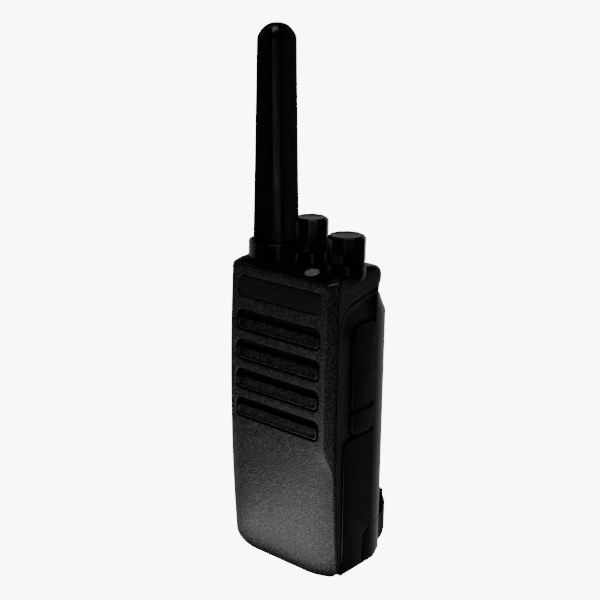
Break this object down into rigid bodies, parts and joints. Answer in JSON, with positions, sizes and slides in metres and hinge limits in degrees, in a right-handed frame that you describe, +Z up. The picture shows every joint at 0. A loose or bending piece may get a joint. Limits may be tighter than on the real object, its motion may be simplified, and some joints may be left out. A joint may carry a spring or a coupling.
{
  "type": "portable two-way radio",
  "caption": "Handheld two-way radio with antenna, control knobs, slotted speaker front, side accessory cover, rear battery pack and belt clip.",
  "frame": {"origin": "on the flat bottom that the radio stands on, midway between its sides, under the battery pack's front half", "axes": "+Z up along the antenna, -Y out of the speaker front, +X to the right of someone who looks at the front"},
  "size_m": [0.0571, 0.0476, 0.2197],
  "materials": {
    "textured_case": "fine moulded grain",
    "smooth_plastic": "satin",
    "rubber": "satin rubber",
    "inlay": "fine matt",
    "cloth": "woven",
    "lens": "milky, smooth",
    "cast_metal": "die cast",
    "steel": "bright",
    "brass": "turned",
    "board": "solder mask",
    "cone": "pressed paper",
    "cell": "sleeved",
    "seal": "matt"
  },
  "bodies": {
    "radio": {"front_case": "textured_case", "name_plate": "inlay", "speaker_cloth": "cloth", "status_lens": "lens", "speaker_frame": "steel", "speaker_cone": "cone", "speaker_magnet": "cast_metal", "speaker_bracket": "steel", "microphone": "cast_metal", "chassis": "cast_metal", "chassis_seal": "seal", "main_board": "board", "rf_shield": "steel", "power_amplifier": "cast_metal", "contact_block": "smooth_plastic", "channel_switch": "cast_metal", "channel_switch_nut": "brass", "volume_control": "cast_metal", "volume_control_nut": "brass", "antenna_socket": "brass", "jack_block": "smooth_plastic", "side_key_board": "board", "chassis_screw_1": "steel", "chassis_screw_2": "steel", "accessory_cover_anchor": "rubber"},
    "channel_selector": {"channel_knob": "smooth_plastic", "channel_shaft": "steel"},
    "volume_dial": {"volume_knob": "smooth_plastic", "volume_shaft": "steel"},
    "antenna": {"antenna_sheath": "smooth_plastic", "antenna_stud": "brass", "antenna_coil": "steel"},
    "talk_key": {"ptt_button": "rubber"},
    "upper_key": {"side_key_upper": "rubber"},
    "lower_key": {"side_key_lower": "rubber"},
    "jack_flap": {"accessory_cover": "rubber"},
    "battery_pack": {"battery_shell": "smooth_plastic", "battery_lid": "smooth_plastic", "battery_upper_lid": "smooth_plastic", "battery_contact_plus": "brass", "battery_contact_sense": "brass", "battery_contact_minus": "brass", "battery_cell_front": "cell", "battery_cell_rear": "cell", "battery_board": "board", "battery_heel": "smooth_plastic", "clip_bracket": "smooth_plastic", "clip_screw_1": "steel", "clip_screw_2": "steel", "clip_pin": "steel", "clip_spring": "steel"},
    "pack_latch": {"battery_latch": "smooth_plastic"},
    "clip": {"belt_clip": "smooth_plastic"}
  },
  "joints": [
    {"name": "channel_turn", "type": "hinge", "parent": "radio", "child": "channel_selector", "pos_m": [0.0022, -0.002, 0.139], "axis": [0, 0, -1], "range_deg": [0, 337.5]},
    {"name": "volume_turn", "type": "hinge", "parent": "radio", "child": "volume_dial", "pos_m": [0.0201, -0.002, 0.136], "axis": [0, 0, -1], "range_deg": [0, 290]},
    {"name": "antenna_turn", "type": "hinge", "parent": "radio", "child": "antenna", "pos_m": [-0.0163, -0.002, 0.14], "axis": [0, 0, 1], "continuous": true},
    {"name": "talk_press", "type": "slide", "parent": "radio", "child": "talk_key", "axis": [1, 0, 0], "range_m": [0, 0.001], "stiffness_N_per_m": 1500},
    {"name": "upper_key_press", "type": "slide", "parent": "radio", "child": "upper_key", "axis": [1, 0, 0], "range_m": [0, 0.0008], "stiffness_N_per_m": 900},
    {"name": "lower_key_press", "type": "slide", "parent": "radio", "child": "lower_key", "axis": [1, 0, 0], "range_m": [0, 0.0008], "stiffness_N_per_m": 900},
    {"name": "flap_swing", "type": "hinge", "parent": "radio", "child": "jack_flap", "pos_m": [0.0285, 0.00145, 0.0715], "axis": [0, 1, 0], "range_deg": [0, 150]},
    {"name": "pack_tilt", "type": "hinge", "parent": "radio", "child": "battery_pack", "pos_m": [0, 0.0141, 0.1169], "axis": [1, 0, 0], "range_deg": [0, 30]},
    {"name": "latch_slide", "type": "slide", "parent": "battery_pack", "child": "pack_latch", "axis": [0, 1, 0], "range_m": [0, 0.0025], "stiffness_N_per_m": 700},
    {"name": "clip_swing", "type": "hinge", "parent": "battery_pack", "child": "clip", "pos_m": [0, 0.025, 0.098], "axis": [1, 0, 0], "range_deg": [0, 18], "stiffness_Nm_per_rad": 0.5, "springref_deg": -5.73}
  ]
}
